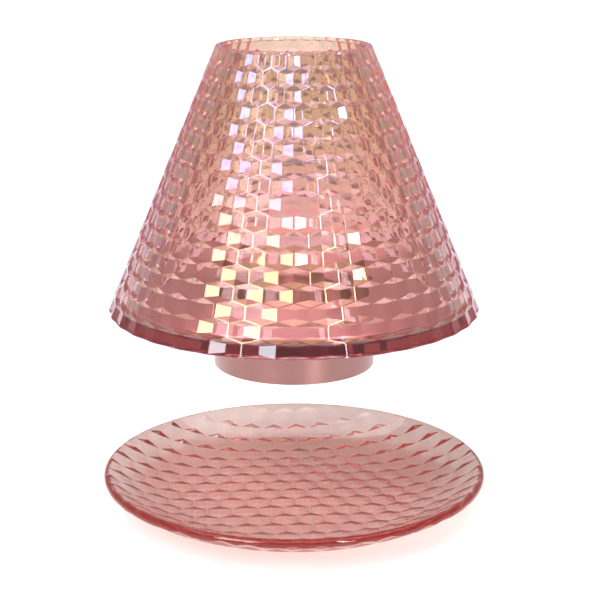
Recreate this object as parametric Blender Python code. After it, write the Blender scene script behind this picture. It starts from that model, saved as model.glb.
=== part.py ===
"""Candle-jar shade set: a pressed-glass shade bonded to a metal jar holder, and its glass tray.

Metres, +Z up. The tray stands on z = 0 and every piece is centred on the Z axis. The shade is
held at the height where the mouth of a candle jar, standing in the tray, would carry it.
Both glass pieces are pressed with a honeycomb of hollow six-sided cells on the outer face.
"""

import math

import bmesh
import bpy
from mathutils import Vector

# Tray
TRAY_RADIUS = 0.100
TRAY_FLOOR_RADIUS = 0.053  # the flat part, on which a jar stands
TRAY_RIM_TILT = math.radians(34)  # steepness of the dish where it meets the rim
TRAY_WALL = 0.0046
TRAY_CELL = 0.0133  # across the flats of a cell
TRAY_TURN = math.radians(3.5)  # the honeycomb's turn about Z
TRAY_COLUMNS = range(-9, 9)
TRAY_ROWS = range(-10, 11)

# Shade
JAR_HEIGHT = 0.1079  # from the tray's floor to the jar's mouth, where the holder rests
SHADE_HEIGHT = 0.134
SHADE_FOOT_RADIUS = 0.095
SHADE_MOUTH_RADIUS = 0.0385
SHADE_FOOT_WALL = 0.0046  # the wall thins towards the mouth
SHADE_MOUTH_WALL = 0.0030
SHADE_COLUMNS = 36
SHADE_ROWS = 17

# Honeycomb cells. Lengths along a column are shares of the distance from row to row.
SHADE_CELL_SIDE = 0.367  # half the upright side
TRAY_CELL_SIDE = 1 / 3  # the same, on a regular hexagon
CELL_VALLEY = 0.24  # half the upright valley at the middle of a cell
SHADE_RELIEF = 0.0011  # depth of the valley
TRAY_RELIEF = 0.0010
TRAY_LAND = 0.0001  # ground off the ridges on which the tray stands

# Holder
SHEET = 0.0008
HOLDER_RISE = 0.0075  # the plate's underside above the shade's foot
HOLE_RADIUS = 0.0365  # through the plate and the collar's flange
ROLL_RADIUS = 0.0012  # the plate's rolled edge
COLLAR_RADIUS = 0.0413
COLLAR_DROP = 0.029  # below the shade's foot
BEND_RADIUS = 0.0014  # between the collar and its flange, outside
HEM_DEPTH = 0.0007  # how far the folded lower edge stands inwards
HEM_HEIGHT = 0.003
BEAD_RADIUS = 0.0011  # silicone under the plate's edge

GAP = 0.0003  # between pieces that touch
ROUND_STEPS = 2 * SHADE_COLUMNS  # so that every turned piece has its corners on the same lines

TRAY_FLOOR_Z = TRAY_WALL
TRAY_ROUND = TRAY_WALL / 2  # radius of the rim's rounded edge
TRAY_RIM_START = TRAY_RADIUS - TRAY_ROUND * (1 + math.sin(TRAY_RIM_TILT))
COLLAR_TOP_Z = TRAY_FLOOR_Z + JAR_HEIGHT + SHEET
PLATE_Z = COLLAR_TOP_Z + GAP  # the plate's underside
FOOT_Z = PLATE_Z - HOLDER_RISE  # the shade's lower edge
SHADE_SLOPE = math.atan2(SHADE_FOOT_RADIUS - SHADE_MOUTH_RADIUS, SHADE_HEIGHT)

LUSTRE_GLASS = (0.80, 0.42, 0.40, 1)
PINK_GLASS = (0.84, 0.55, 0.52, 1)
ROSE_METAL = (0.62, 0.36, 0.33, 1)
CLEAR_SILICONE = (0.85, 0.78, 0.76, 1)


def clear_scene():
    for obj in list(bpy.data.objects):
        bpy.data.objects.remove(obj, do_unlink=True)


def material(name, colour, roughness, metallic=0.0):
    made = bpy.data.materials.new(name)
    made.use_nodes = True
    shader = made.node_tree.nodes["Principled BSDF"]
    shader.inputs["Base Color"].default_value = colour
    shader.inputs["Roughness"].default_value = roughness
    shader.inputs["Metallic"].default_value = metallic
    return made


def object_from(bm, name, look=None):
    mesh = bpy.data.meshes.new(name)
    bm.to_mesh(mesh)
    bm.free()
    obj = bpy.data.objects.new(name, mesh)
    bpy.context.scene.collection.objects.link(obj)
    if look:
        mesh.materials.append(look)
    return obj


def keep_inside(obj, cutter):
    cutter.hide_render = True
    cutter.display_type = "WIRE"
    cut = obj.modifiers.new("cut", "BOOLEAN")
    cut.operation = "INTERSECT"
    cut.solver = "EXACT"
    cut.object = cutter


def turned(profile, name, look=None, steps=ROUND_STEPS):
    """A solid of revolution. The (radius, z) points run anticlockwise, with radius to the right.
    A profile that starts on the axis ends on it too, and any other is closed on itself."""
    bm = bmesh.new()
    turns = [2 * math.pi * k / steps for k in range(steps)]
    rings = []
    for radius, z in profile:
        if radius == 0:
            rings.append([bm.verts.new((0, 0, z))])
        else:
            rings.append([bm.verts.new((radius * math.cos(a), radius * math.sin(a), z)) for a in turns])
    following = rings[1:] if profile[0][0] == 0 else rings[1:] + rings[:1]
    for low, high in zip(rings, following):
        for k in range(steps):
            n = (k + 1) % steps
            if len(low) == 1:
                bm.faces.new((low[0], high[n], high[k]))
            elif len(high) == 1:
                bm.faces.new((low[k], low[n], high[0]))
            else:
                bm.faces.new((low[k], low[n], high[n], high[k]))
    obj = object_from(bm, name, look)
    obj.data.shade_smooth()
    obj.data.set_sharp_from_angle(angle=math.radians(30))
    return obj


def arc(centre, radius, start, end, steps):
    """Points round an arc in the (radius, z) plane, from start to end in degrees."""
    angles = [math.radians(start + (end - start) * k / steps) for k in range(steps + 1)]
    return [(centre[0] + radius * math.cos(a), centre[1] + radius * math.sin(a)) for a in angles]


def honeycomb(bm, columns, rows, side, place, closed=False):
    """A sheet of hollow cells, with every other row half a cell across. place(column, row,
    hollow) gives a point, where hollow is 1 in a valley and 0 on a border."""
    points = {}

    def at(column, row, hollow=0):
        around = column % len(columns) if closed else column
        key = (round(2 * around), round(1000 * row), hollow)
        if key not in points:
            points[key] = bm.verts.new(place(column, row, hollow))
        return points[key]

    for row in rows:
        for column in columns:
            middle = column + 0.5 * (row % 2)
            top, bottom = at(middle, row + 1 - side), at(middle, row - 1 + side)
            upper, lower = at(middle, row + CELL_VALLEY, 1), at(middle, row - CELL_VALLEY, 1)
            upper_left, lower_left = at(middle - 0.5, row + side), at(middle - 0.5, row - side)
            upper_right, lower_right = at(middle + 0.5, row + side), at(middle + 0.5, row - side)
            bm.faces.new((lower_left, lower, upper, upper_left))
            bm.faces.new((lower, lower_right, upper_right, upper))
            bm.faces.new((upper_left, upper, top))
            bm.faces.new((upper, upper_right, top))
            bm.faces.new((bottom, lower, lower_left))
            bm.faces.new((bottom, lower_right, lower))


def extruded(bm, edges, move):
    """Extrudes an edge loop, moves each new point by move(point), and returns the new loop."""
    new = bmesh.ops.extrude_edge_only(bm, edges=edges)["geom"]
    for vert in (item for item in new if isinstance(item, bmesh.types.BMVert)):
        vert.co = move(vert.co)
    return [item for item in new if isinstance(item, bmesh.types.BMEdge)]


def face_out(bm):
    bmesh.ops.recalc_face_normals(bm, faces=bm.faces)
    if bm.calc_volume(signed=True) < 0:
        bmesh.ops.reverse_faces(bm, faces=bm.faces)


def shade_radius(share):
    """Radius of the shade's outer face, a share of the way from foot to mouth."""
    return SHADE_FOOT_RADIUS + share * (SHADE_MOUTH_RADIUS - SHADE_FOOT_RADIUS)


def inner_shade_radius(height):
    """Radius of the shade's smooth inner face, at a height above its foot."""
    share = height / SHADE_HEIGHT
    wall = SHADE_FOOT_WALL + share * (SHADE_MOUTH_WALL - SHADE_FOOT_WALL)
    return shade_radius(share) - wall / math.cos(SHADE_SLOPE)


def shade_point(column, row, hollow):
    """A point of the shade's honeycomb. Row 0 is centred half a row above the foot."""
    share = (row + 0.5) / SHADE_ROWS
    radius = shade_radius(share) - hollow * SHADE_RELIEF / math.cos(SHADE_SLOPE)
    turn = 2 * math.pi * column / SHADE_COLUMNS
    return Vector((radius * math.sin(turn), -radius * math.cos(turn), FOOT_Z + share * SHADE_HEIGHT))


def glass_shade(look):
    """A honeycomb cone that is longer than the shade, cut off level at the foot and the mouth."""
    bm = bmesh.new()
    rows = range(-1, SHADE_ROWS + 1)
    honeycomb(bm, range(SHADE_COLUMNS), rows, SHADE_CELL_SIDE, shade_point, closed=True)
    over = SHADE_HEIGHT / SHADE_ROWS * 2  # past the honeycomb's jagged edges

    def level_with(z):
        return lambda point: Vector((point.x, point.y, z))

    def inner_face_at(z):
        radius = inner_shade_radius(z - FOOT_Z)
        return lambda point: point.xy.normalized().to_3d() * radius + Vector((0, 0, z))

    middle = FOOT_Z + SHADE_HEIGHT / 2
    edges = [edge for edge in bm.edges if edge.is_boundary]
    lips = []
    for end, z in ((-1, FOOT_Z - over), (1, FOOT_Z + SHADE_HEIGHT + over)):
        loop = [edge for edge in edges if (edge.verts[0].co.z - middle) * end > 0]
        lips += extruded(bm, extruded(bm, loop, level_with(z)), inner_face_at(z))
    bmesh.ops.bridge_loops(bm, edges=lips)
    face_out(bm)
    shade = object_from(bm, "glass_shade", look)
    foot, mouth, wide = FOOT_Z, FOOT_Z + SHADE_HEIGHT, SHADE_FOOT_RADIUS * 1.5
    keep_inside(shade, turned([(0, foot), (wide, foot), (wide, mouth), (0, mouth)], "shade_cutter"))
    return shade


def tray_rise(radius):
    """Height of the tray's inner face above its floor: flat, then a parabola to the rim."""
    out = max(0.0, radius - TRAY_FLOOR_RADIUS)
    return math.tan(TRAY_RIM_TILT) * out**2 / (2 * (TRAY_RIM_START - TRAY_FLOOR_RADIUS))


def tray_tilt(radius):
    """Angle of the tray's inner face above level."""
    out = max(0.0, radius - TRAY_FLOOR_RADIUS)
    return math.atan(math.tan(TRAY_RIM_TILT) * out / (TRAY_RIM_START - TRAY_FLOOR_RADIUS))


def tray_point(column, row, hollow):
    """A point of the tray's honeycomb, one wall outside the inner face."""
    x, y = column * TRAY_CELL, row * TRAY_CELL * math.sqrt(3) / 2
    radius = math.hypot(x, y)
    inner = radius
    for _ in range(8):
        inner = radius - TRAY_WALL * math.sin(tray_tilt(inner))
    wall = (TRAY_WALL - hollow * TRAY_RELIEF) * math.cos(tray_tilt(inner))
    z = TRAY_FLOOR_Z + tray_rise(inner) - wall - TRAY_LAND
    cos, sin = math.cos(TRAY_TURN), math.sin(TRAY_TURN)
    return Vector((x * cos - y * sin, x * sin + y * cos, z))


def tray_profile():
    """Half section of the dish, from the middle of its base round the rim to the middle of its
    floor. The honeycomb cuts it off between the base and the rim."""
    tilt = math.degrees(TRAY_RIM_TILT)
    rim_start_z = TRAY_FLOOR_Z + tray_rise(TRAY_RIM_START)
    rim_middle = (TRAY_RADIUS - TRAY_ROUND, rim_start_z - TRAY_ROUND * math.cos(TRAY_RIM_TILT))
    under_rim, over_rim = -45, 90 + tilt
    points = [(0, 0), (0.87 * TRAY_RADIUS, 0)]
    points += arc(rim_middle, TRAY_ROUND, under_rim, over_rim, 7)
    steps = 7
    for k in range(1, steps + 1):
        radius = TRAY_RIM_START + (TRAY_FLOOR_RADIUS - TRAY_RIM_START) * k / steps
        points.append((radius, TRAY_FLOOR_Z + tray_rise(radius)))
    return points + [(0, TRAY_FLOOR_Z)]


def glass_tray(look):
    """A turned dish with a flat base, of which the part above a honeycomb underside is kept."""
    bm = bmesh.new()
    honeycomb(bm, TRAY_COLUMNS, TRAY_ROWS, TRAY_CELL_SIDE, tray_point)
    edges = [edge for edge in bm.edges if edge.is_boundary]
    top = max(vert.co.z for vert in bm.verts) + TRAY_WALL
    lid = extruded(bm, edges, lambda point: Vector((point.x, point.y, top)))
    bmesh.ops.edgeloop_fill(bm, edges=lid)
    face_out(bm)
    tray = turned(tray_profile(), "tray", look)
    keep_inside(tray, object_from(bm, "tray_cutter"))
    return tray


def roll_centre():
    """Middle of the plate's rolled edge, which touches the shade's inner face."""
    z = PLATE_Z + SHEET - ROLL_RADIUS
    clear = (ROLL_RADIUS + GAP) / math.cos(SHADE_SLOPE)
    return inner_shade_radius(z - FOOT_Z) - clear, z


def holder_plate(look):
    """A flat sheet ring. Its outer edge is rolled under, and the roll carries the shade."""
    top = PLATE_Z + SHEET
    start = 180 - math.degrees(math.asin((ROLL_RADIUS - SHEET) / ROLL_RADIUS))
    profile = [(HOLE_RADIUS, PLATE_Z)]
    profile += arc(roll_centre(), ROLL_RADIUS, start, 450, 8)
    profile += [(HOLE_RADIUS, top)]
    return turned(profile, "holder_plate", look)


def jar_collar(look):
    """The ring round the jar's neck, hemmed below. Its flange stands inwards under the plate, and
    the underside of the flange rests on the jar's mouth."""
    inner = COLLAR_RADIUS - SHEET
    foot = FOOT_Z - COLLAR_DROP
    edge = HEM_DEPTH / 2
    bend = (COLLAR_RADIUS - BEND_RADIUS, COLLAR_TOP_Z - BEND_RADIUS)
    profile = arc((inner - HEM_DEPTH + edge, foot + edge), edge, 180, 270, 2)
    profile += arc((COLLAR_RADIUS - edge, foot + edge), edge, 270, 360, 2)
    profile += arc(bend, BEND_RADIUS, 0, 90, 3)
    profile += [(HOLE_RADIUS, COLLAR_TOP_Z), (HOLE_RADIUS, COLLAR_TOP_Z - SHEET)]
    profile += arc(bend, BEND_RADIUS - SHEET, 90, 0, 2)
    profile += [(inner, foot + HEM_HEIGHT), (inner - HEM_DEPTH, foot + HEM_HEIGHT - HEM_DEPTH)]
    return turned(profile, "jar_collar", look)


def bonding_bead(look):
    """Silicone run into the corner between the shade and the underside of the plate's edge."""
    radius, z = roll_centre()
    apart = ROLL_RADIUS + BEAD_RADIUS + GAP
    nearer_wall = ROLL_RADIUS - BEAD_RADIUS
    along = math.sqrt(apart**2 - nearer_wall**2)
    cos, sin = math.cos(SHADE_SLOPE), math.sin(SHADE_SLOPE)
    centre = (radius + nearer_wall * cos + along * sin, z + nearer_wall * sin - along * cos)
    return turned(arc(centre, BEAD_RADIUS, 0, 300, 5), "bonding_bead", look)


def build():
    clear_scene()
    glass_tray(material("pink_glass", PINK_GLASS, 0.08))
    rose_metal = material("rose_metal", ROSE_METAL, 0.35, 0.8)
    lift = bpy.data.objects.new("shade_lift", None)
    bpy.context.scene.collection.objects.link(lift)
    lift.location.z = PLATE_Z
    bpy.context.view_layer.update()
    lifted = (
        glass_shade(material("lustre_glass", LUSTRE_GLASS, 0.06)),
        holder_plate(rose_metal),
        jar_collar(rose_metal.copy()),
        bonding_bead(material("clear_silicone", CLEAR_SILICONE, 0.5)),
    )
    for piece in lifted:
        piece.parent = lift
        piece.matrix_parent_inverse = lift.matrix_world.inverted()


build()
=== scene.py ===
"""Looks of the candle-jar shade set: lustred honeycomb glass on a satin rose holder, and its tray.

Both glass pieces get rounded ridges, rounded valleys and fire-polished edges. The holder's pieces
are turned again at a finer step. Metres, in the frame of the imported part, with +Z up.
"""

import math

import bmesh
import bpy
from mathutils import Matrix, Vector


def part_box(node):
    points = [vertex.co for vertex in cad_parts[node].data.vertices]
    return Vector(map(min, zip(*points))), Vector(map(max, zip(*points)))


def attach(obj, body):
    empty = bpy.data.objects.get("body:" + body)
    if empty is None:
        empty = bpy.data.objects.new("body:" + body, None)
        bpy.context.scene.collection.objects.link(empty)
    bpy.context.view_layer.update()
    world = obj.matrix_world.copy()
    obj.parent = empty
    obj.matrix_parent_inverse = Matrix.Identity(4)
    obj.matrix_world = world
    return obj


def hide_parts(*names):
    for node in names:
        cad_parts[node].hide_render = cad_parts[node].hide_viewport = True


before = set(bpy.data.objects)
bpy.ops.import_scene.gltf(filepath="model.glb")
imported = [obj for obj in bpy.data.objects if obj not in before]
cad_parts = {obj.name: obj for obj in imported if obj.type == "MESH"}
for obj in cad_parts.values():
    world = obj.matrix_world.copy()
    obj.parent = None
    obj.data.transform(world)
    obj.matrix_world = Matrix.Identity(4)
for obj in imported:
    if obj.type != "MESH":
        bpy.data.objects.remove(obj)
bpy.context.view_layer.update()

SHADE_LOW, SHADE_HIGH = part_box("glass_shade")
PLATE_LOW, PLATE_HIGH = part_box("holder_plate")
COLLAR_LOW, COLLAR_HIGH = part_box("jar_collar")
TRAY_LOW, TRAY_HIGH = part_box("tray")

# Shade
FOOT_Z = SHADE_LOW.z
SHADE_HEIGHT = SHADE_HIGH.z - SHADE_LOW.z
SHADE_FOOT_RADIUS = 0.095
SHADE_MOUTH_RADIUS = 0.0385
SHADE_FOOT_WALL = 0.0046
SHADE_MOUTH_WALL = 0.0030
SHADE_COLUMNS = 36
SHADE_ROWS = 17
SHADE_CELL_SIDE = 0.367  # half the upright side, in rows
SHADE_RELIEF = 0.0011
SHADE_RIDGE = 0.00055  # half the width of a rounded ridge
FOOT_LIP = 0.0008  # height of the rounded edges
MOUTH_LIP = 0.0015
SHADE_SLOPE = math.atan2(SHADE_FOOT_RADIUS - SHADE_MOUTH_RADIUS, SHADE_HEIGHT)

# Tray
TRAY_RADIUS = TRAY_HIGH.x
TRAY_FLOOR_RADIUS = 0.053
TRAY_RIM_TILT = math.radians(34)
TRAY_WALL = 0.0046
TRAY_CELL = 0.0133
TRAY_TURN = math.radians(3.5)
TRAY_COLUMNS = range(-9, 9)
TRAY_ROWS = range(-10, 11)
TRAY_CELL_SIDE = 1 / 3
TRAY_RELIEF = 0.0016
TRAY_LAND = 0.0001
TRAY_RIDGE = 0.00055
TRAY_ROUND = TRAY_WALL / 2
TRAY_RIM_START = TRAY_RADIUS - TRAY_ROUND * (1 + math.sin(TRAY_RIM_TILT))
TRAY_FLOOR_Z = TRAY_WALL
SURFACE_FIT = 0.0001

# Both honeycombs, in shares of a row or a column
CELL_VALLEY = 0.24  # half the upright valley
VALLEY_ROUND = 0.035  # half the width of the rounded valley

# Edges with a larger angle are shaded sharp
FACET_ANGLE = math.radians(2)
TURNED_ANGLE = math.radians(30)

# Holder
SHEET = 0.0008
PLATE_Z = PLATE_HIGH.z - SHEET
HOLE_RADIUS = 0.0365
ROLL_RADIUS = 0.0012
COLLAR_RADIUS = COLLAR_HIGH.x
COLLAR_TOP_Z = COLLAR_HIGH.z
COLLAR_FOOT_Z = COLLAR_LOW.z
BEND_RADIUS = 0.0014
HEM_DEPTH = 0.0007
HEM_HEIGHT = 0.003
BEAD_RADIUS = 0.0011
GAP = 0.0003
ROUND_STEPS = 180

# Camera
CAMERA_DISTANCE = 0.769
CAMERA_HEIGHT = 0.3184
CAMERA_PITCH = math.radians(15.2)
CAMERA_YAW = math.radians(0.23)
CAMERA_LENS = 93
SENSOR = 36

# Light
HORIZON_LIGHT = 0.55
SKY_LIGHT = 0.5
OVERHEAD_LIGHT = 2.1
OVERHEAD_ANGLE = math.radians(70)
SOFTBOX_DISTANCE = 3.0
SOFTBOX_TARGET_Z = 0.13

# Light paths, long enough for light that is trapped in the glass
BOUNCES = 32
GLASS_BOUNCES = 24


# Meshes


def object_from(bm, name):
    mesh = bpy.data.meshes.new(name)
    bm.to_mesh(mesh)
    bm.free()
    obj = bpy.data.objects.new(name, mesh)
    bpy.context.scene.collection.objects.link(obj)
    return obj


def arc(centre, radius, start, end, steps):
    """Points round an arc in the (radius, z) plane, from start to end in degrees."""
    angles = [math.radians(start + (end - start) * k / steps) for k in range(steps + 1)]
    return [(centre[0] + radius * math.cos(a), centre[1] + radius * math.sin(a)) for a in angles]


def turned(profile, name, sharp=TURNED_ANGLE):
    """A solid of revolution. Its (radius, z) points run anticlockwise, radius to the right."""
    bm = bmesh.new()
    turns = [2 * math.pi * k / ROUND_STEPS for k in range(ROUND_STEPS)]
    rings = []
    for radius, z in profile:
        if radius == 0:
            rings.append([bm.verts.new((0, 0, z))])
        else:
            ring = [(radius * math.cos(a), radius * math.sin(a), z) for a in turns]
            rings.append([bm.verts.new(point) for point in ring])
    following = rings[1:] if profile[0][0] == 0 else rings[1:] + rings[:1]
    for low, high in zip(rings, following):
        for k in range(ROUND_STEPS):
            n = (k + 1) % ROUND_STEPS
            if len(low) == 1:
                bm.faces.new((low[0], high[n], high[k]))
            elif len(high) == 1:
                bm.faces.new((low[k], low[n], high[0]))
            else:
                bm.faces.new((low[k], low[n], high[n], high[k]))
    obj = object_from(bm, name)
    obj.data.shade_smooth()
    obj.data.set_sharp_from_angle(angle=sharp)
    return obj


def honeycomb(bm, columns, rows, side, ridge, place, closed=False):
    """A sheet of hollow cells with rounded ridges, every other row half a cell across.
    ridge(row) is the share of a facet that a ridge takes up, and place(column, row, hollow) gives
    a point, where hollow runs from 0 on a sharp border to 1 in a sharp valley."""
    points = {}

    def at(column, row, hollow):
        around = column % len(columns) if closed else column
        key = (round(4000 * around), round(4000 * row))
        if key not in points:
            points[key] = bm.verts.new(place(column, row, hollow))
        return points[key]

    for row in rows:
        for column in columns:
            middle = column + 0.5 * (row % 2)
            half = ((0, 1 - side), (-0.5, side), (-0.5, -side))
            tips = half + tuple((-across, -up) for across, up in half)
            corners = [(middle + across, row + up) for across, up in tips]
            rings = []
            for inwards in (0, 0.5, 1):
                ring = []
                for k, (x, y) in enumerate(corners):
                    end = row + (CELL_VALLEY if k in (0, 1, 5) else -CELL_VALLEY)
                    move = inwards * ridge(y)
                    rounded = ridge(y) * (inwards**2 + 1) / 2
                    ring.append(at(x + move * (middle - x), y + move * (end - y), rounded))
                rings.append(ring)
            for outer, inner in zip(rings, rings[1:]):
                for k in range(6):
                    n = (k + 1) % 6
                    bm.faces.new((outer[k], outer[n], inner[n], inner[k]))
            top, upper_left, lower_left, bottom, lower_right, upper_right = rings[-1]
            low, high = [], []
            for end, up in ((low, -CELL_VALLEY), (high, CELL_VALLEY)):
                for across in (-1, 0, 1):
                    rounded = 1 - VALLEY_ROUND * (1 + abs(across))
                    end.append(at(middle + across * VALLEY_ROUND, row + up, rounded))
            bm.faces.new((upper_left, lower_left, low[0], high[0]))
            bm.faces.new((lower_right, upper_right, high[2], low[2]))
            for k in (0, 1):
                bm.faces.new((high[k], low[k], low[k + 1], high[k + 1]))
                bm.faces.new((top, high[k], high[k + 1]))
                bm.faces.new((bottom, low[k + 1], low[k]))
            bm.faces.new((top, upper_left, high[0]))
            bm.faces.new((upper_right, top, high[2]))
            bm.faces.new((lower_left, bottom, low[0]))
            bm.faces.new((bottom, lower_right, low[2]))


def extruded(bm, edges, move):
    """Extrudes an edge loop, moves each new point by move(point), and returns the new loop."""
    new = bmesh.ops.extrude_edge_only(bm, edges=edges)["geom"]
    for vert in (item for item in new if isinstance(item, bmesh.types.BMVert)):
        vert.co = move(vert.co)
    return [item for item in new if isinstance(item, bmesh.types.BMEdge)]


def face_out(bm):
    bmesh.ops.recalc_face_normals(bm, faces=bm.faces)
    if bm.calc_volume(signed=True) < 0:
        bmesh.ops.reverse_faces(bm, faces=bm.faces)


# Glass


def shade_radius(share):
    return SHADE_FOOT_RADIUS + share * (SHADE_MOUTH_RADIUS - SHADE_FOOT_RADIUS)


def inner_shade_radius(height):
    share = height / SHADE_HEIGHT
    wall = SHADE_FOOT_WALL + share * (SHADE_MOUTH_WALL - SHADE_FOOT_WALL)
    return shade_radius(share) - wall / math.cos(SHADE_SLOPE)


def shade_point(column, row, hollow):
    share = (row + 0.5) / SHADE_ROWS
    radius = shade_radius(share) - hollow * SHADE_RELIEF / math.cos(SHADE_SLOPE)
    turn = 2 * math.pi * column / SHADE_COLUMNS
    z = FOOT_Z + share * SHADE_HEIGHT
    return Vector((radius * math.sin(turn), -radius * math.cos(turn), z))


def shade_ridge(row):
    return SHADE_RIDGE / (math.pi * shade_radius((row + 0.5) / SHADE_ROWS) / SHADE_COLUMNS)


def lip(bm, loop, z, end):
    """Rounds a cut edge over to the inner face. end is -1 at the foot and 1 at the mouth."""
    height = FOOT_LIP if end < 0 else MOUTH_LIP
    inner = inner_shade_radius(z - end * height - FOOT_Z)
    steps = 8
    outers = {}
    for step in range(1, steps + 1):
        angle = math.pi * step / steps

        def move(point):
            turn = math.atan2(point.y, point.x)
            key = round(turn, 5)
            outer = outers.setdefault(key, math.hypot(point.x, point.y))
            radius = (outer + inner) / 2 + (outer - inner) / 2 * math.cos(angle)
            up = z + end * height * (math.sin(angle) - 1)
            return Vector((radius * math.cos(turn), radius * math.sin(turn), up))

        loop = extruded(bm, loop, move)
    return loop


def shade_glass():
    """A honeycomb cone cut off level at both ends, with rounded lips and a smooth inner face."""
    bm = bmesh.new()
    rows = range(-1, SHADE_ROWS + 1)
    columns = range(SHADE_COLUMNS)
    honeycomb(bm, columns, rows, SHADE_CELL_SIDE, shade_ridge, shade_point, closed=True)
    mouth_z = FOOT_Z + SHADE_HEIGHT
    for z, up in ((FOOT_Z + FOOT_LIP, -1), (mouth_z - MOUTH_LIP, 1)):
        everything = bm.verts[:] + bm.edges[:] + bm.faces[:]
        cut = {"plane_co": (0, 0, z), "plane_no": (0, 0, up), "clear_outer": True}
        bmesh.ops.bisect_plane(bm, geom=everything, dist=1e-7, **cut)
    middle = FOOT_Z + SHADE_HEIGHT / 2
    edges = [edge for edge in bm.edges if edge.is_boundary]
    lips = []
    for z, end in ((FOOT_Z, -1), (mouth_z, 1)):
        loop = [edge for edge in edges if (edge.verts[0].co.z - middle) * end > 0]
        lips += lip(bm, loop, z, end)
    bmesh.ops.bridge_loops(bm, edges=lips)
    face_out(bm)
    obj = object_from(bm, "shade_glass")
    obj.data.shade_smooth()
    obj.data.set_sharp_from_angle(angle=FACET_ANGLE)
    return obj


def tray_rise(radius):
    out = max(0.0, radius - TRAY_FLOOR_RADIUS)
    return math.tan(TRAY_RIM_TILT) * out**2 / (2 * (TRAY_RIM_START - TRAY_FLOOR_RADIUS))


def tray_tilt(radius):
    out = max(0.0, radius - TRAY_FLOOR_RADIUS)
    return math.atan(math.tan(TRAY_RIM_TILT) * out / (TRAY_RIM_START - TRAY_FLOOR_RADIUS))


def tray_point(column, row, hollow):
    """A point of the tray's honeycomb, one wall outside the inner face."""
    x, y = column * TRAY_CELL, row * TRAY_CELL * math.sqrt(3) / 2
    radius = math.hypot(x, y)
    inner = radius
    for _ in range(8):
        inner = radius - TRAY_WALL * math.sin(tray_tilt(inner))
    wall = (TRAY_WALL - hollow * TRAY_RELIEF) * math.cos(tray_tilt(inner))
    z = TRAY_FLOOR_Z + tray_rise(inner) - wall - TRAY_LAND
    cos, sin = math.cos(TRAY_TURN), math.sin(TRAY_TURN)
    return Vector((x * cos - y * sin, x * sin + y * cos, z))


def tray_ridge(row):
    return TRAY_RIDGE / (TRAY_CELL / 2)


def rim_middle():
    z = TRAY_FLOOR_Z + tray_rise(TRAY_RIM_START) - TRAY_ROUND * math.cos(TRAY_RIM_TILT)
    return TRAY_RADIUS - TRAY_ROUND, z


def tray_profile():
    """Half section of the dish, from the middle of its base round the rim to its floor."""
    points = [(0, 0), (0.87 * TRAY_RADIUS, 0)]
    points += arc(rim_middle(), TRAY_ROUND, -45, 90 + math.degrees(TRAY_RIM_TILT), 14)
    steps = 20
    for k in range(1, steps + 1):
        radius = TRAY_RIM_START + (TRAY_FLOOR_RADIUS - TRAY_RIM_START) * k / steps
        points.append((radius, TRAY_FLOOR_Z + tray_rise(radius)))
    return points + [(0, TRAY_FLOOR_Z)]


def turned_part(point):
    """Whether a point of the tray lies on its smooth inner face or on its rim."""
    radius = math.hypot(point.x, point.y)
    across, up = rim_middle()
    on_rim = abs(math.hypot(radius - across, point.z - up) - TRAY_ROUND) < SURFACE_FIT
    inside = radius < TRAY_RIM_START and point.z > TRAY_FLOOR_Z + tray_rise(radius) - SURFACE_FIT
    return on_rim or inside


def tray_glass():
    """A turned dish, of which the part above a honeycomb underside is kept."""
    bm = bmesh.new()
    honeycomb(bm, TRAY_COLUMNS, TRAY_ROWS, TRAY_CELL_SIDE, tray_ridge, tray_point)
    edges = [edge for edge in bm.edges if edge.is_boundary]
    top = max(vert.co.z for vert in bm.verts) + TRAY_WALL
    lid = extruded(bm, edges, lambda point: Vector((point.x, point.y, top)))
    bmesh.ops.edgeloop_fill(bm, edges=lid)
    face_out(bm)
    underside = object_from(bm, "tray_underside")
    tray = turned(tray_profile(), "tray_dish")
    cut = tray.modifiers.new("cut", "BOOLEAN")
    cut.operation = "INTERSECT"
    cut.solver = "EXACT"
    cut.object = underside
    evaluated = tray.evaluated_get(bpy.context.evaluated_depsgraph_get())
    bm = bmesh.new()
    bm.from_mesh(evaluated.data)
    bpy.data.objects.remove(underside, do_unlink=True)
    bpy.data.objects.remove(tray, do_unlink=True)
    for face in bm.faces:
        face.smooth = True
    for edge in bm.edges:
        pressed = not all(turned_part(face.calc_center_median()) for face in edge.link_faces)
        edge.smooth = edge.calc_face_angle() < (FACET_ANGLE if pressed else TURNED_ANGLE)
    return object_from(bm, "tray_dish")


# Holder


def roll_centre():
    z = PLATE_Z + SHEET - ROLL_RADIUS
    clear = (ROLL_RADIUS + GAP) / math.cos(SHADE_SLOPE)
    return inner_shade_radius(z - FOOT_Z) - clear, z


def plate():
    top = PLATE_Z + SHEET
    start = 180 - math.degrees(math.asin((ROLL_RADIUS - SHEET) / ROLL_RADIUS))
    profile = [(HOLE_RADIUS, PLATE_Z)]
    profile += arc(roll_centre(), ROLL_RADIUS, start, 450, 20)
    profile += [(HOLE_RADIUS, top)]
    return turned(profile, "plate")


def collar():
    inner = COLLAR_RADIUS - SHEET
    foot = COLLAR_FOOT_Z
    edge = HEM_DEPTH / 2
    bend = (COLLAR_RADIUS - BEND_RADIUS, COLLAR_TOP_Z - BEND_RADIUS)
    profile = arc((inner - HEM_DEPTH + edge, foot + edge), edge, 180, 270, 4)
    profile += arc((COLLAR_RADIUS - edge, foot + edge), edge, 270, 360, 4)
    profile += arc(bend, BEND_RADIUS, 0, 90, 8)
    profile += [(HOLE_RADIUS, COLLAR_TOP_Z), (HOLE_RADIUS, COLLAR_TOP_Z - SHEET)]
    profile += arc(bend, BEND_RADIUS - SHEET, 90, 0, 5)
    profile += [(inner, foot + HEM_HEIGHT), (inner - HEM_DEPTH, foot + HEM_HEIGHT - HEM_DEPTH)]
    return turned(profile, "collar", math.radians(40))


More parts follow.
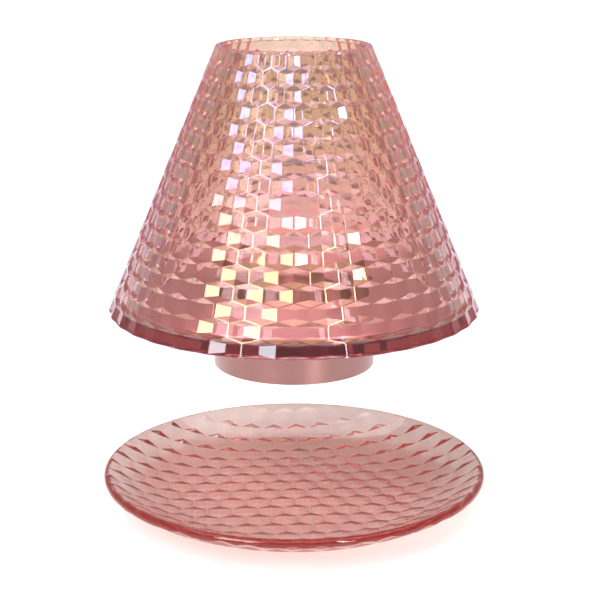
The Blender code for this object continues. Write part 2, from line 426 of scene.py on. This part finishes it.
def bead():
    radius, z = roll_centre()
    apart = ROLL_RADIUS + BEAD_RADIUS + GAP
    nearer_wall = ROLL_RADIUS - BEAD_RADIUS
    along = math.sqrt(apart**2 - nearer_wall**2)
    cos, sin = math.cos(SHADE_SLOPE), math.sin(SHADE_SLOPE)
    centre = (radius + nearer_wall * cos + along * sin, z + nearer_wall * sin - along * cos)
    return turned(arc(centre, BEAD_RADIUS, 0, 336, 14), "bead", math.radians(60))


# Materials


RANGE_SOCKETS = ("From Min", "From Max", "To Min", "To Max")
NOISE_LOW, NOISE_HIGH = 0.3, 0.7  # most of a noise texture lies between these
GLASS_IOR = 1.5

# Lustre film, in nanometres
FILM_AT_FOOT, FILM_AT_MOUTH = 118, 163
FILM_CLOUDS = 5
FILM_EDGE_ON = 60  # more where it is seen edge on
FILM_IOR = 1.8
BAND_FILM = 0.2  # share of the film on the foot band
BAND_TOP = 0.055  # share of the shade's height


class Look:
    """A material's node tree, with short ways to add and join nodes."""

    def __init__(self, name):
        self.material = bpy.data.materials.new(name)
        self.material.use_nodes = True
        self.tree = self.material.node_tree
        self.shader = self.tree.nodes["Principled BSDF"]
        self.output = self.tree.nodes["Material Output"]
        self.place = self.add("ShaderNodeTexCoord").outputs["Object"]
        parts = self.add("ShaderNodeSeparateXYZ")
        self.join(self.place, parts.inputs[0])
        self.height = parts.outputs["Z"]

    def add(self, kind, **settings):
        node = self.tree.nodes.new(kind)
        for name, value in settings.items():
            setattr(node, name, value)
        return node

    def join(self, output, socket):
        if isinstance(output, (int, float)):
            socket.default_value = output
        else:
            self.tree.links.new(output, socket)

    def set(self, **values):
        for name, value in values.items():
            self.shader.inputs[name.replace("_", " ")].default_value = value

    def noise(self, scale, detail=2.0, roughness=0.5, place=None):
        node = self.add("ShaderNodeTexNoise")
        node.inputs["Scale"].default_value = scale
        node.inputs["Detail"].default_value = detail
        node.inputs["Roughness"].default_value = roughness
        self.join(place or self.place, node.inputs["Vector"])
        return node.outputs["Fac"]

    def mapped(self, value, low, high, to_low, to_high, curve="LINEAR"):
        node = self.add("ShaderNodeMapRange", interpolation_type=curve)
        self.join(value, node.inputs["Value"])
        for name, number in zip(RANGE_SOCKETS, (low, high, to_low, to_high)):
            node.inputs[name].default_value = number
        return node.outputs["Result"]

    def spread(self, noise, low, high):
        """A noise texture, stretched to run from low to high."""
        return self.mapped(noise, NOISE_LOW, NOISE_HIGH, low, high)

    def maths(self, operation, a, b):
        node = self.add("ShaderNodeMath", operation=operation)
        self.join(a, node.inputs[0])
        self.join(b, node.inputs[1])
        return node.outputs[0]

    def ramp(self, value, stops):
        node = self.add("ShaderNodeValToRGB")
        bar = node.color_ramp
        while len(bar.elements) < len(stops):
            bar.elements.new(0.5)
        for element, (position, colour) in zip(bar.elements, stops):
            element.position = position
            element.color = (*colour, 1)
        self.join(value, node.inputs["Fac"])
        return node.outputs["Color"]

    def clouded(self, noise, dark, pale):
        """A noise texture, coloured from dark to pale."""
        return self.ramp(noise, ((NOISE_LOW, dark), (NOISE_HIGH, pale)))

    def mixed(self, share, a, b, blend="MIX"):
        node = self.add("ShaderNodeMix", data_type="RGBA", blend_type=blend)
        self.join(share, node.inputs[0])
        for value, socket in ((a, node.inputs[6]), (b, node.inputs[7])):
            if isinstance(value, tuple):
                socket.default_value = (*value, 1)
            else:
                self.join(value, socket)
        return node.outputs[2]

    def radius(self):
        """Distance from the common axis."""
        flat = self.add("ShaderNodeVectorMath", operation="MULTIPLY")
        flat.inputs[1].default_value = (1, 1, 0)
        self.join(self.place, flat.inputs[0])
        length = self.add("ShaderNodeVectorMath", operation="LENGTH")
        self.join(flat.outputs[0], length.inputs[0])
        return length.outputs["Value"]

    def grazing(self, start, end):
        """0 where glass is seen face on, and 1 where it is seen edge on."""
        return self.mapped(self.add("ShaderNodeLayerWeight").outputs["Facing"], start, end, 0, 1)

    def bump(self, height, strength, distance):
        node = self.add("ShaderNodeBump")
        node.inputs["Strength"].default_value = strength
        node.inputs["Distance"].default_value = distance
        self.join(height, node.inputs["Height"])
        self.join(node.outputs[0], self.shader.inputs["Normal"])

    def lamps_pass(self, tint):
        """Lets light from lamps through, tinted, where a sharp image of it isn't needed."""
        clear = self.add("ShaderNodeBsdfTransparent")
        clear.inputs[0].default_value = (*tint, 1)
        mix = self.add("ShaderNodeMixShader")
        self.join(self.add("ShaderNodeLightPath").outputs["Is Shadow Ray"], mix.inputs[0])
        self.join(self.shader.outputs[0], mix.inputs[1])
        self.join(clear.outputs[0], mix.inputs[2])
        self.join(mix.outputs[0], self.output.inputs["Surface"])

    def absorb(self, colour, density):
        node = self.add("ShaderNodeVolumeAbsorption")
        node.inputs["Color"].default_value = (*colour, 1)
        node.inputs["Density"].default_value = density
        self.join(node.outputs[0], self.output.inputs["Volume"])


def glass_surface(look):
    """Fire-polished: almost smooth, with faint waves."""
    look.join(look.spread(look.noise(220, 4), 0.01, 0.04), look.shader.inputs["Roughness"])
    look.bump(look.noise(90, 2), 0.08, 0.0004)
    look.set(IOR=GLASS_IOR, Transmission_Weight=1.0)


def lustre_film(look, share, clouds):
    """Sets a film whose thickness grows towards the mouth. There is little on the foot band."""
    film = look.mapped(share, 0.15, 0.8, FILM_AT_FOOT, FILM_AT_MOUTH, "SMOOTHSTEP")
    film = look.maths("ADD", film, look.spread(clouds, -FILM_CLOUDS, FILM_CLOUDS))
    edge_on = look.maths("MULTIPLY", look.grazing(0.5, 0.85), FILM_EDGE_ON)
    film = look.maths("ADD", film, edge_on)
    band = look.mapped(share, BAND_TOP - 0.005, BAND_TOP, BAND_FILM, 1)
    film = look.maths("MULTIPLY", film, band)
    coated = look.add("ShaderNodeAttribute", attribute_name="outside").outputs["Fac"]
    look.join(look.maths("MULTIPLY", film, coated), look.shader.inputs["Thin Film Thickness"])
    look.set(Thin_Film_IOR=FILM_IOR)


def lustre_look():
    """Pink pressed glass under a thin metal-oxide film."""
    look = Look("lustre_glass")
    glass_surface(look)
    share = look.mapped(look.height, FOOT_Z, FOOT_Z + SHADE_HEIGHT, 0, 1)
    clouds = look.noise(25, 3)
    # The lowest 5 percent of the shade's height is painted dark red: painted shade, standing for
    # the shadowed space under the holder plate seen through the glass.
    stops = (
        (0.0, (0.20, 0.03, 0.03)),
        (0.050, (0.20, 0.03, 0.03)),
        (0.060, (0.88, 0.62, 0.67)),
        (0.35, (0.79, 0.59, 0.56)),
        (0.75, (0.74, 0.59, 0.42)),
        (1.0, (0.74, 0.59, 0.46)),
    )
    uneven = look.clouded(clouds, (0.95, 0.93, 0.93), (1, 1, 1))
    tint = look.mixed(1.0, look.ramp(share, stops), uneven, "MULTIPLY")
    # Painted shade and painted reflection: seen edge on, the glass turns dark red, and nearer
    # still to edge on, violet.
    tint = look.mixed(look.grazing(0.5, 0.75), tint, (0.42, 0.08, 0.10))
    tint = look.mixed(look.grazing(0.72, 0.9), tint, (0.34, 0.22, 0.60))
    look.join(tint, look.shader.inputs["Base Color"])
    lustre_film(look, share, clouds)
    look.absorb((0.96, 0.42, 0.45), 20)
    look.lamps_pass((0.97, 0.91, 0.90))
    return look.material


def pink_look():
    """Pink pressed glass without a film, a little deeper towards the rim."""
    look = Look("pink_glass")
    glass_surface(look)
    share = look.mapped(look.radius(), 0, TRAY_RADIUS, 0, 1)
    tint = look.ramp(share, ((0.2, (0.67, 0.53, 0.49)), (1.0, (0.53, 0.44, 0.41))))
    uneven = look.clouded(look.noise(30, 3), (0.96, 0.95, 0.95), (1, 1, 1))
    look.join(look.mixed(1.0, tint, uneven, "MULTIPLY"), look.shader.inputs["Base Color"])
    look.absorb((0.965, 0.55, 0.52), 60)
    look.lamps_pass((0.90, 0.82, 0.80))
    return look.material


def metal_look(name, deep, pale):
    """Satin rose lacquer on spun sheet, with the fine rings of the spinning."""
    look = Look(name)
    spun = look.add("ShaderNodeCombineXYZ")
    look.join(look.radius(), spun.inputs["X"])
    look.join(look.height, spun.inputs["Y"])
    marks = look.noise(2500, 4, 0.6, spun.outputs[0])
    share = look.maths("ADD", look.noise(20, 3), look.spread(marks, -0.15, 0.15))
    look.join(look.clouded(share, deep, pale), look.shader.inputs["Base Color"])
    look.join(look.spread(marks, 0.36, 0.46), look.shader.inputs["Roughness"])
    look.bump(marks, 0.1, 0.00005)
    around = look.add("ShaderNodeTangent", direction_type="RADIAL", axis="Z")
    look.join(around.outputs[0], look.shader.inputs["Tangent"])
    look.set(Metallic=0.9, Anisotropic=0.8, Anisotropic_Rotation=0.25)
    look.set(Coat_Weight=0.3, Coat_Roughness=0.25)
    return look.material


def silicone_look():
    """Clear silicone, slightly milky."""
    look = Look("clear_silicone")
    clouds = look.noise(300, 4)
    tint = look.clouded(clouds, (0.84, 0.76, 0.73), (0.93, 0.87, 0.85))
    look.join(tint, look.shader.inputs["Base Color"])
    look.join(look.spread(clouds, 0.35, 0.55), look.shader.inputs["Roughness"])
    look.bump(clouds, 0.3, 0.0002)
    look.set(IOR=1.41, Transmission_Weight=0.6)
    return look.material


# Assembly


def finish_piece(obj, material, body, node):
    obj.data.materials.clear()
    obj.data.materials.append(material)
    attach(obj, body)
    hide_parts(node)


def mark_outside(obj):
    """1 on the faces that turn away from the axis, where the film is, and 0 on the rest."""
    values = []
    for face in obj.data.polygons:
        values.append(float(face.normal.to_2d().dot(face.center.to_2d()) > 0))
    mark = obj.data.attributes.new("outside", "FLOAT", "FACE")
    mark.data.foreach_set("value", values)


def pieces():
    shade = shade_glass()
    mark_outside(shade)
    finish_piece(shade, lustre_look(), "shade", "glass_shade")
    finish_piece(tray_glass(), pink_look(), "tray", "tray")
    # The plate gets the collar's rose lacquer made paler: painted light, which brightens the plate
    # where it is seen through the glass.
    plate_rose_painted_light = metal_look("rose_plate_painted_light", (0.66, 0.40, 0.41), (0.74, 0.46, 0.47))
    finish_piece(plate(), plate_rose_painted_light, "shade", "holder_plate")
    deep_rose = metal_look("rose_collar", (0.34, 0.17, 0.16), (0.41, 0.21, 0.20))
    finish_piece(collar(), deep_rose, "shade", "jar_collar")
    finish_piece(bead(), silicone_look(), "shade", "bonding_bead")


# Stage


def stage():
    bm = bmesh.new()
    bmesh.ops.create_grid(bm, x_segments=1, y_segments=1, size=12)
    floor = object_from(bm, "floor")
    look = Look("floor")
    tint = look.clouded(look.noise(3), (0.90, 0.90, 0.90), (0.91, 0.91, 0.91))
    look.join(tint, look.shader.inputs["Base Color"])
    look.set(Roughness=0.9, Specular_IOR_Level=0.1)
    floor.data.materials.append(look.material)


def softbox(name, azimuth, elevation, width, height, radiance):
    """A soft rectangular lamp, azimuth degrees right of the camera and elevation up. It looks
    width by height degrees large from the shade."""
    a, e = math.radians(azimuth), math.radians(elevation)
    direction = Vector((math.sin(a) * math.cos(e), -math.cos(a) * math.cos(e), math.sin(e)))
    data = bpy.data.lights.new(name, "AREA")
    data.shape = "RECTANGLE"
    data.size = 2 * SOFTBOX_DISTANCE * math.tan(math.radians(width / 2))
    data.size_y = 2 * SOFTBOX_DISTANCE * math.tan(math.radians(height / 2))
    data.energy = radiance * math.pi * data.size * data.size_y
    lamp = bpy.data.objects.new(name, data)
    bpy.context.scene.collection.objects.link(lamp)
    lamp.location = direction * SOFTBOX_DISTANCE + Vector((0, 0, SOFTBOX_TARGET_Z))
    lamp.rotation_euler = direction.to_track_quat("Z", "Y").to_euler()


def surroundings():
    """A plain world: white where it is seen directly, and dimmer as a light."""
    world = bpy.data.worlds.new("studio")
    bpy.context.scene.world = world
    world.use_nodes = True
    tree = world.node_tree
    nodes, links = tree.nodes, tree.links
    parts = nodes.new("ShaderNodeSeparateXYZ")
    links.new(nodes.new("ShaderNodeTexCoord").outputs["Generated"], parts.inputs[0])
    fall = nodes.new("ShaderNodeMapRange")
    links.new(parts.outputs["Z"], fall.inputs["Value"])
    for name, number in zip(RANGE_SOCKETS, (0, 0.8, HORIZON_LIGHT, SKY_LIGHT)):
        fall.inputs[name].default_value = number
    seen = nodes.new("ShaderNodeMath")
    seen.operation = "MAXIMUM"
    links.new(fall.outputs["Result"], seen.inputs[0])
    links.new(nodes.new("ShaderNodeLightPath").outputs["Is Camera Ray"], seen.inputs[1])
    background = nodes["Background"]
    background.inputs["Color"].default_value = (1, 1, 1, 1)
    links.new(seen.outputs[0], background.inputs["Strength"])


def light():
    softbox("key", -36, 36, 22, 30, 12.0)
    softbox("side", 28, 29, 3, 24, 30.0)
    softbox("low", 30, 13, 8, 10, 36.0)
    overhead = bpy.data.lights.new("overhead", "SUN")
    overhead.energy = OVERHEAD_LIGHT
    overhead.angle = OVERHEAD_ANGLE
    bpy.context.scene.collection.objects.link(bpy.data.objects.new("overhead", overhead))
    surroundings()


def camera():
    data = bpy.data.cameras.new("camera")
    data.lens = CAMERA_LENS
    data.sensor_width = SENSOR
    view = bpy.data.objects.new("camera", data)
    bpy.context.scene.collection.objects.link(view)
    view.location = (0, -CAMERA_DISTANCE, CAMERA_HEIGHT)
    view.rotation_euler = (math.pi / 2 - CAMERA_PITCH, 0, -CAMERA_YAW)
    bpy.context.scene.camera = view


def settings():
    scene = bpy.context.scene
    scene.view_settings.view_transform = "Standard"
    scene.cycles.max_bounces = BOUNCES
    scene.cycles.transmission_bounces = GLASS_BOUNCES
    scene.cycles.glossy_bounces = GLASS_BOUNCES
    scene.cycles.caustics_reflective = False
    scene.cycles.caustics_refractive = True


camera()
pieces()
stage()
light()
settings()
